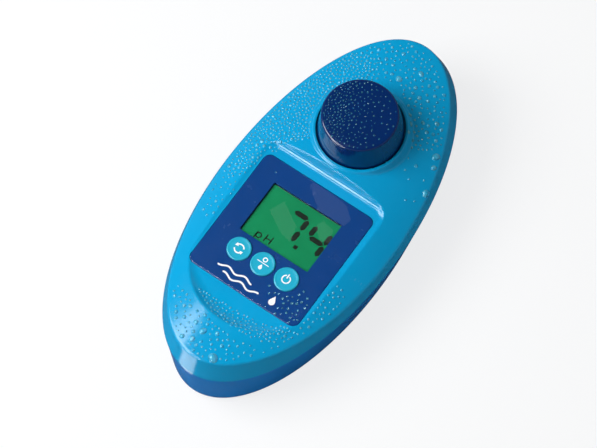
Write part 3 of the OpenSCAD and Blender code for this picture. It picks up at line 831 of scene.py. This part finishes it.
def build_digits():
    parts = []
    for x, lit in ((0.05, "abc"), (10.55, "bcfg")):
        for key in lit:
            start, stop = np.array(SEGMENTS[key]) * (DIGIT_HALF_W, DIGIT_HALF_H)
            parts.append(slab(slanted(segment_bar(start, stop) + (x, DIGIT_Y)), *DIGIT_Z))
    # decimal point
    parts.append(slab(slanted([(5.2, -6.0), (6.75, -6.0), (6.75, -4.5), (5.2, -4.5)]), *DIGIT_Z))
    # painted shadow line, drawn in the digits' dark ink, down the left side and along the head side
    # of the glass
    parts.append(stroke([(-15.0, -11.0), (-15.0, 10.95), (15.0, 10.95)], 0.34, *DIGIT_Z,
                        round_ends=False))
    # small unit letters p and H: their straight strokes, then the bowl of the p
    letter_w = 0.46
    for line in ([(-8.75, -10.7), (-8.75, -7.9)], [(-4.95, -9.7), (-4.95, -6.9)],
                 [(-2.6, -9.7), (-2.6, -6.9)], [(-4.95, -8.3), (-2.6, -8.3)]):
        parts.append(stroke(slanted(line), letter_w, *DIGIT_Z))
    bowl = arc(-7.7, -8.85, 1.0, 0, 360, 21)[:-1]
    parts.append(stroke(slanted(bowl), letter_w, *DIGIT_Z, closed=True))
    # digits, letters and the painted shadow line are one object in the dark ink
    merge("display_digits_and_painted_shadow", parts, "case", DARK_INK_AND_SHADOW, (0, LCD_Y))


# ------------------------------------------------------------------ printed marks on the panel
PRINT_Z = (30.19, 30.225)
PRINT_Y = -40.3


def build_print():
    """Two wavy lines and a drop, between the keys and the tail end of the panel."""
    parts = []
    for y, start, stop in ((1.35, -9.3, 5.2), (-1.15, -6.0, 9.3)):
        x = np.linspace(start, stop, 96)
        parts.append(stroke(np.c_[x, y + 0.60 * np.sin(x * 0.87)], 0.66, *PRINT_Z))
    merge("panel_waves", parts, "case", INK_WHITE, (-4.2, PRINT_Y))
    drop = slab(drop_shape(1.25, -0.5, 2.1, 30), *PRINT_Z)
    merge("panel_drop", [drop], "case", INK_WHITE, (11.2, PRINT_Y))


# ------------------------------------------------------------------ keys
KEY_NODES = ("mode_key", "zero_test_key", "power_key")
MARK_Z = (30.66, 30.735)
# radius, z: retaining flange, stem, rounded edge and dished face
KEY_PROFILE = [
    (0, 25.6), (5.05, 25.6), (5.1, 25.65), (5.1, 27.33), (5.05, 27.38), (KEY_R, 27.38),
    (KEY_R, 30.42), (KEY_R - 0.05, 30.60), (KEY_R - 0.18, 30.74), (KEY_R - 0.38, 30.81),
    (KEY_R - 0.62, 30.80), (KEY_R - 0.95, 30.72), (KEY_R - 1.6, 30.68), (2.0, 30.70), (0, 30.71)]


def mode_mark():
    """Two arrows that follow each other round."""
    radius, head_half, head_length = 1.75, 0.78, 1.15
    parts = []
    for turn in (0, 180):
        parts.append(stroke(arc(0, 0, radius, turn + 20, turn + 135, 16), 0.52, *MARK_Z,
                            round_ends=False))
        end = math.radians(turn + 135)
        out = np.array([math.cos(end), math.sin(end)])
        ahead = np.array([-math.sin(end), math.cos(end)])
        parts.append(slab([(radius + head_half) * out, radius * out + head_length * ahead,
                           (radius - head_half) * out], *MARK_Z))
    return parts


def zero_test_mark():
    """A ring over a rule over a drop."""
    return [stroke(arc(0, 1.75, 0.78, 0, 360, 25)[:-1], 0.42, *MARK_Z, closed=True),
            stroke([(-2.4, 0.25), (2.4, 0.25)], 0.26, *MARK_Z),
            slab(drop_shape(0.72, -1.75, -0.35, 24), *MARK_Z)]


def power_mark():
    """A line in a broken ring."""
    return [stroke(arc(0, -0.15, 1.55, 120, 420, 30), 0.46, *MARK_Z),
            stroke([(0, 0.45), (0, 1.95)], 0.46, *MARK_Z)]


def build_keys():
    for node, at in zip(KEY_NODES, KEY_PLACES):
        ob = lathe(node + "_cap", KEY_PROFILE, at, 160, 50)
        dress(ob, node, "key_cyan", replaces=(node,))
    for node, at, mark in zip(KEY_NODES, KEY_PLACES, (mode_mark, zero_test_mark, power_mark)):
        merge(node.replace("_key", "_mark"), mark(), node, INK_WHITE, at)


# ------------------------------------------------------------------ cap
def cap_side(z):
    """Outer radius of the tapered side at height z."""
    return CAP_R + (CAP_TOP_R - CAP_R) * (z - TAPER_Z) / (TAPER_END_Z - TAPER_Z)


def build_cap():
    # radius, z: hollow inside, lower rim, start of the side
    profile = [(0, 45.5), (11, 45.5), (11.7, 45.2), (12.0, 44.5), (13.2, 34.6), (13.7, 34.6),
               (13.7, 32.4), (13.85, 32.25), (15.9, 32.25), (16.1, 32.33), (CAP_R, 32.5),
               (CAP_R, 35.3)]
    profile += [(cap_side(z), z) for z in np.linspace(35.8, CAP_Z - 1.0, 10)]
    fillet = 0.95
    r, z = cap_side(CAP_Z - 0.9) - fillet, CAP_Z - fillet
    for a in np.radians(np.linspace(8, 90, 9)):
        profile.append((r + fillet * math.cos(a), z + fillet * math.sin(a)))
    profile += [(r, CAP_Z) for r in (12.4, 10.5, 8, 5, 2.5, 0)]
    ob = lathe("sample_cap", profile, (0, CUP_Y), 256, 40)
    dress(ob, "cap", "navy_cap", replaces=("light_cap",))


# ------------------------------------------------------------------ water drops
# single large drops: place in the view plane (right, up), radius
LARGE_DROPS = [
    (37.6875, 54.375, 1.30), (45.9375, 56.25, 1.15), (51.5625, 25.125, 1.55),
    (50.8125, 21, 1.05), (47.8125, 11.4375, 1.45), (-32.0625, -50.25, 1.85),
    (-35.8125, -40.125, 1.35), (-39.9375, -43.125, 1.10), (-43.6875, -42, 0.95),
    (44.0625, 21.75, 0.70), (-38.4375, -36.75, 0.95), (-13.6875, 31.125, 0.95),
    (-15.5625, 29.625, 0.8), (-26.0625, 21.75, 0.8), (-30.9375, 8.625, 0.65),
    (51.9375, 37.5, 0.95), (-40.6875, -30.75, 0.8), (-28.6875, -45.75, 0.8),
    (41.8125, 40.875, 0.9), (42.1875, 37.5, 1.0), (41.4375, 34.5, 0.8),
    (-45.9375, -35.25, 0.7)]
# wet areas: outline in the view plane (right, up), least and greatest drop radius,
# clear gap between drops, share of tries made
WET_AREAS = [
    # dense mist on the shoulder and round the head
    ([(8.8125, 60.75), (20.0625, 65.25), (32.0625, 61.5), (27.5625, 54), (15.5625, 52.5),
      (8.8125, 47.25), (5.0625, 39.75), (3.9375, 32.25), (-4.6875, 30.375), (-15.1875, 30.75),
      (-18.9375, 33), (-13.6875, 40.5), (-3.1875, 51)], 0.40, 0.66, 0.20, 1.0),
    ([(-18.9375, 32.25), (-5.4375, 30), (-8.4375, 27), (-13.6875, 24.75), (-19.6875, 19.5),
      (-26.4375, 17.25), (-27.9375, 20.25), (-23.4375, 27)], 0.38, 0.74, 0.36, 0.9),
    ([(-27.1875, 21), (-21.1875, 18.75), (-23.4375, 12.75), (-27.9375, 9), (-31.6875, 3.75),
      (-36.9375, 3), (-36.1875, 7.5), (-31.6875, 14.25)], 0.35, 0.70, 1.1, 0.5),
    # larger drops on the head
    ([(32.0625, 67.5), (41.8125, 68.25), (50.0625, 61.5), (55.3125, 49.5), (56.8125, 37.5),
      (53.0625, 28.5), (47.0625, 27), (41.0625, 28.5), (41.0625, 45), (37.3125, 52.5),
      (27.5625, 54.75), (20.0625, 65.25)], 0.40, 0.88, 0.75, 0.9),
    ([(41.0625, 28.5), (48.5625, 27), (49.3125, 19.5), (44.8125, 6), (39.5625, 3),
      (39.5625, 18)], 0.35, 0.75, 3.2, 0.5),
    # tail
    ([(-49.6875, -25.5), (-44.4375, -22.5), (-38.4375, -30.75), (-30.9375, -38.25),
      (-21.9375, -44.25), (-26.4375, -52.5), (-34.6875, -51.75), (-42.1875, -48),
      (-48.1875, -36.75)], 0.42, 0.90, 0.80, 0.9),
    ([(-21.9375, -44.25), (-13.6875, -47.25), (-3.1875, -45), (-0.9375, -47.25),
      (-9.9375, -51.75), (-26.4375, -53.25)], 0.38, 0.72, 1.3, 0.8),
    # finger scoop
    ([(-37.6875, -24), (-31.6875, -27), (-21.9375, -33), (-13.6875, -37.5), (-5.4375, -38.25),
      (-0.1875, -41.25), (-3.9375, -44.25), (-13.6875, -44.25), (-23.4375, -39.75),
      (-32.4375, -33)], 0.38, 0.62, 0.34, 1.0),
    # beside the panel
    ([(-0.1875, -39), (4.3125, -35.25), (10.3125, -27), (15.5625, -22.5), (17.8125, -27),
      (9.5625, -38.25), (2.8125, -43.5)], 0.35, 0.62, 0.9, 0.8),
]
GRID = 3                    # cell size for finding neighbours


def inside(x, y, polygon):
    odd = False
    for i, (xi, yi) in enumerate(polygon):
        xj, yj = polygon[i - 1]
        if (yi > y) != (yj > y) and x < (xj - xi) * (y - yi) / (yj - yi) + xi:
            odd = not odd
    return odd


class Drops:
    """Mesh of sessile drops that share one random stream."""

    def __init__(self, rng):
        self.rng, self.verts, self.faces = rng, [], []

    def add(self, centre, normal, radius, wet=62.0):
        """A slightly uneven spherical cap, sunk a little; wet is its contact angle."""
        rng = self.rng
        n = np.asarray(normal, float)
        n /= np.linalg.norm(n)
        u = np.cross(n, [0.3, 1.0, 0.1])
        u /= np.linalg.norm(u)
        v = np.cross(n, u)
        seg = 10 if radius < 0.5 else (14 if radius < 0.9 else 22)
        rings = 4 if radius < 0.9 else 7
        contact = math.radians(wet + rng.uniform(-6, 6))
        sphere = radius / math.sin(contact)
        oval, turn = 1 + rng.uniform(-0.10, 0.10), rng.uniform(0, math.pi)
        lobes = [(k, rng.uniform(0, 0.05), rng.uniform(0, 6.28)) for k in (2, 3)]
        base = len(self.verts)
        for i in range(rings + 1):
            if i == 0:
                ring_r, rise = radius, -0.10
            else:
                g = contact * (1 - (i - 1) / rings)
                ring_r, rise = sphere * math.sin(g), sphere * (math.cos(g) - math.cos(contact))
            for k in range(seg):
                a = 2 * math.pi * k / seg
                r = ring_r * (1 + sum(amp * math.cos(m * a + phase) for m, amp, phase in lobes))
                x, y = r * math.cos(a) * oval, r * math.sin(a) / oval
                x, y = (x * math.cos(turn) - y * math.sin(turn),
                        x * math.sin(turn) + y * math.cos(turn))
                self.verts.append(centre + u * x + v * y + n * rise)
        self.verts.append(centre + n * (sphere * (1 - math.cos(contact))))
        for i in range(rings):
            self.faces += quads(seg, base + i * seg, base + (i + 1) * seg)
        ring, tip = base + rings * seg, base + (rings + 1) * seg
        self.faces += [(ring + k, ring + (k + 1) % seg, tip) for k in range(seg)]
        self.faces.append(tuple(base + k for k in range(seg - 1, -1, -1)))

    def build(self, name, body, mat):
        dress(obj_from(name, self.verts, self.faces), body, mat=mat)


def top_normal(x, y):
    e = 0.15
    z = top(np.array([x + e, x - e, x, x]), np.array([y, y, y + e, y - e]))
    return np.array([-(z[0] - z[1]) / (2 * e), -(z[2] - z[3]) / (2 * e), 1.0])


def off_limits(x, y, a):
    """True where a drop would touch the collar bore, the panel or the case edge."""
    if math.hypot(x, y - CUP_Y) < 17.9 + a:
        return True
    if abs(x) < 24.6 + a and abs(y - PANEL_Y) < 26 + a:
        return True
    margin = FLARE * (height(top, x, y) - PART_Z) + 0.9 + a
    return (x / (HALF_WIDTH - margin)) ** 2 + (y / (HALF_LENGTH - margin)) ** 2 > 1


def build_shell_drops(rng):
    drops, cells = Drops(rng), {}

    def put(x, y, z, normal, a, **shape):
        cells.setdefault((int(x // GRID), int(y // GRID)), []).append((x, y, a))
        drops.add(np.array([x, y, z]), normal, a, **shape)

    for right, up, a in LARGE_DROPS:
        z = 33.0
        for _ in range(12):
            x, y = from_view(right, up, z)[:2]
            z = height(top, x, y)
        put(x, y, z, top_normal(x, y), a, wet=52)
    for polygon, least, most, gap, share in WET_AREAS:
        # tries are scattered over the area's bounds at a level near the surface
        ground = np.array([from_view(right, up, 32.0)[:2] for right, up in polygon])
        (x0, y0), (x1, y1) = ground.min(0) - 1, ground.max(0) + 1
        tries = int((x1 - x0) * (y1 - y0) / (least + gap / 2) ** 2 * 2.2 * share)
        for _ in range(tries):
            x, y = rng.uniform(x0, x1), rng.uniform(y0, y1)
            a = least + (most - least) * rng.random() ** 2.2
            col, row = int(x // GRID), int(y // GRID)
            if any((x - p[0]) ** 2 + (y - p[1]) ** 2 < (a + p[2] + gap * rng.uniform(0.6, 1.3)) ** 2
                   for i in (-1, 0, 1) for j in (-1, 0, 1)
                   for p in cells.get((col + i, row + j), ())):
                continue
            if off_limits(x, y, a):
                continue
            z = height(top, x, y)
            if not inside(*to_view((x, y, z)), polygon):
                continue
            normal = top_normal(x, y)
            if normal[0] ** 2 + normal[1] ** 2 > 2.2:       # too steep
                continue
            put(x, y, z, normal, a)
    drops.build("water_drops_shell", "case", WATER)


def crowded(placed, x, y, a, gap):
    return any((x - p[0]) ** 2 + (y - p[1]) ** 2 < (a + p[2] + gap) ** 2 for p in placed)


def build_panel_drops(rng):
    """A few drops towards two corners of the panel, clear of the power key and the drop mark."""
    drops, placed = Drops(rng), []
    # middle x, y, spread in x, y, and the total on the panel at which to stop; the total
    # includes earlier rows
    for mid_x, mid_y, spread_x, spread_y, total in ((17.0, -39.5, 4.5, 3.2, 34),
                                                    (-20.0, 2.5, 2.2, 3.0, 9)):
        for _ in range(total * 4):
            x, y = rng.gauss(mid_x, spread_x), rng.gauss(mid_y, spread_y)
            a = rng.uniform(0.26, 0.5)
            if abs(x) > 23.4 or not -43.8 < y < 6.0:
                continue
            if math.hypot(x - KEY_PITCH, y - KEY_Y) < 5.6 or (8.6 < x < 13.8 and -43 < y < -37.5):
                continue
            if crowded(placed, x, y, a, 0.7):
                continue
            placed.append((x, y, a))
            drops.add(np.array([x, y, FILM_Z]), (0, 0, 1), a, wet=48)
            if len(placed) >= total:
                break
    drops.build("water_drops_panel", "case", WATER_CAP)


def build_cap_drops(rng):
    """Fine drops on the cap's top, thicker towards -X and -Y."""
    drops, placed, reach = Drops(rng), [], 13.3
    for _ in range(5200):
        r, turn = math.sqrt(rng.random()) * reach, rng.uniform(0, 2 * math.pi)
        x, y = r * math.cos(turn), r * math.sin(turn)
        side = -(x * 0.816 + y * 0.35) / reach
        keep = 0.30 + 0.85 * max(0.0, side)
        if rng.random() > keep or (side < -0.35 and rng.random() > 0.25):
            continue
        a = rng.uniform(0.20, 0.40)
        if crowded(placed, x, y, a, 0.32 + 0.9 * max(0, 0.4 - side)):
            continue
        placed.append((x, y, a))
        drops.add(np.array([x, y + CUP_Y, CAP_Z]), (0, 0, 1), a, wet=55)
    drops.build("water_drops_cap", "cap", WATER_CAP)


# ------------------------------------------------------------------ floor and camera
def build_floor():
    half, z = 3000.0, -0.4
    ob = bare_mesh("floor", [(-half, -half, z), (half, -half, z), (half, half, z),
                             (-half, half, z)], [(0, 1, 2, 3)])
    n = material("floor")
    path = n.add("ShaderNodeLightPath")
    # the camera sees a pale, almost shadowless sweep; the object sees a darker one
    sweep = n.shader("BsdfDiffuse", color=n.ramp(
        n.noise(scale=6, detail=3), [(0.3, (0.88, 0.885, 0.89)), (0.7, (0.91, 0.91, 0.91))]))
    glow = n.shader("Emission", color=(0.97, 0.975, 0.98, 1), strength=1.0)
    dim = n.shader("BsdfDiffuse", color=(0.08, 0.09, 0.105, 1))
    bounce = n.shader("BsdfDiffuse", color=(0.66, 0.68, 0.70, 1))
    shown = n.mix(path["Is Camera Ray"], n.mix(path["Is Diffuse Ray"], dim, bounce),
                  n.mix(0.80, sweep, glow))
    # clear from below, so the underside can be looked at, and to rays shorter than 1.5 mm
    hidden = n.math("MAXIMUM", n.add("ShaderNodeNewGeometry")["Backfacing"],
                    n.math("LESS_THAN", path["Ray Length"], 0.0015))
    ob.data.materials.append(n.finish(n.mix(hidden, shown, n.shader("BsdfTransparent"))))


def build_camera():
    cam = bpy.data.cameras.new("camera")
    cam.lens, cam.sensor_width = LENS, SENSOR
    cam.clip_start, cam.clip_end = 0.05, 20
    ob = place("camera", cam)
    rows = [(*CAM_AXES[:, i], CAM_PLACE[i] * MM) for i in range(3)]
    ob.matrix_world = Matrix((*rows, (0, 0, 0, 1)))
    bpy.context.scene.camera = ob


# ------------------------------------------------------------------ light
def area_light(name, location, target, size, size_y, power):
    """Rectangular light aimed at target; all in metres and watts."""
    light = bpy.data.lights.new(name, "AREA")
    light.shape = "RECTANGLE"
    light.size, light.size_y, light.energy = size, size_y, power
    ob = place(name, light)
    ob.location = location
    aim = Vector(target) - Vector(location)
    ob.rotation_euler = aim.to_track_quat("-Z", "Y").to_euler()
    return ob


def card(name, verts, faces, strength):
    """Glowing card that only glossy surfaces see."""
    ob = bare_mesh(name, verts, faces)
    n = material(name)
    col = n.ramp(n.noise(scale=3, detail=2), [(0.3, (0.94, 0.97, 1.0)), (0.7, (1.0, 1.0, 1.0))])
    ob.data.materials.append(n.finish(n.shader("Emission", color=col, strength=strength)))
    ob.visible_camera = ob.visible_diffuse = ob.visible_shadow = ob.visible_transmission = False


# where the pane reflections show on the film: outlines in the view plane (right, up)
PANES = [
    [(4.1875, 14.5), (6.3125, 15.75), (18.0625, 6.8125), (19.8125, 1.5), (17.125, -0.6875),
     (7.4375, 5.25)],
    [(-11, 5.25), (-5.1875, 8.5), (-0.8125, -1), (-3.1875, -6.75), (-6.4375, -3.625)],
    [(6.1875, -1), (9.3125, 1.25), (13.0625, -2.375), (11.8125, -7.25), (8.0625, -6.625)]]
PANE_Z = 490.0


def build_pane_cards():
    """Panes set where the camera, mirrored in the film, looks through each outline."""
    mirrored = CAM_PLACE * np.array([1, 1, -1]) + np.array([0, 0, 2 * FILM_Z])
    reach = (PANE_Z - mirrored[2]) / (FILM_Z - mirrored[2])
    verts, faces = [], []
    for pane in PANES:
        faces.append(tuple(range(len(verts), len(verts) + len(pane))))
        verts += [mirrored + (from_view(*corner, FILM_Z) - mirrored) * reach for corner in pane]
    card("pane_cards", verts, faces, strength=0.8)


def build_tail_card():
    """Low fan that opens outwards from the tail and gives its wall a pale streak."""
    x, y, z = -3.0, -77.0, 0.6
    heading, spread = math.radians(247), 0.36
    fan = [(x + r * math.cos(heading + k), y + r * math.sin(heading + k), z)
           for r, turns in ((9.0, (-spread, 0.0, spread)), (260.0, (spread, 0.0, -spread)))
           for k in turns]
    card("tail_card", fan, [(0, 1, 2, 3, 4, 5)], strength=3.0)


def build_world():
    world = bpy.data.worlds.new("studio")
    bpy.context.scene.world = world
    n = Nodes(world, "World")
    soft = n.shader("Background", color=(0.97, 0.985, 1.0, 1), strength=0.38)
    # what shiny surfaces see: a dark ceiling with bright walls low down
    up = n.add("ShaderNodeSeparateXYZ", {0: n.coords["Generated"]})["Z"]
    greys = ((0.0, 0.30), (0.18, 0.42), (0.45, 0.16), (0.75, 0.03))
    room = n.shader("Background", strength=1.0,
                    color=n.ramp(up, [(position, (grey,) * 3) for position, grey in greys]))
    n.finish(n.mix(n.add("ShaderNodeLightPath")["Is Glossy Ray"], soft, room))
    view = bpy.context.scene.view_settings
    view.view_transform = "Standard"
    view.look = "None"


def build_stage():
    build_floor()
    build_camera()
    area_light("key_left", location=(-0.27, -0.19, 0.44), target=(0, -0.01, 0.02),
               size=0.34, size_y=0.34, power=3.1)
    low = area_light("low_tail", location=(-0.27, -0.93, 0.46), target=(0, 0, 0.03),
                     size=0.60, size_y=0.26, power=7.0)
    low.visible_diffuse = False
    build_pane_cards()
    build_tail_card()
    build_world()


build_upper()
build_lower()
build_panel()
build_digits()
build_print()
build_keys()
build_cap()
drop_rng = random.Random(17)
build_shell_drops(drop_rng)
build_panel_drops(drop_rng)
build_cap_drops(drop_rng)
build_stage()
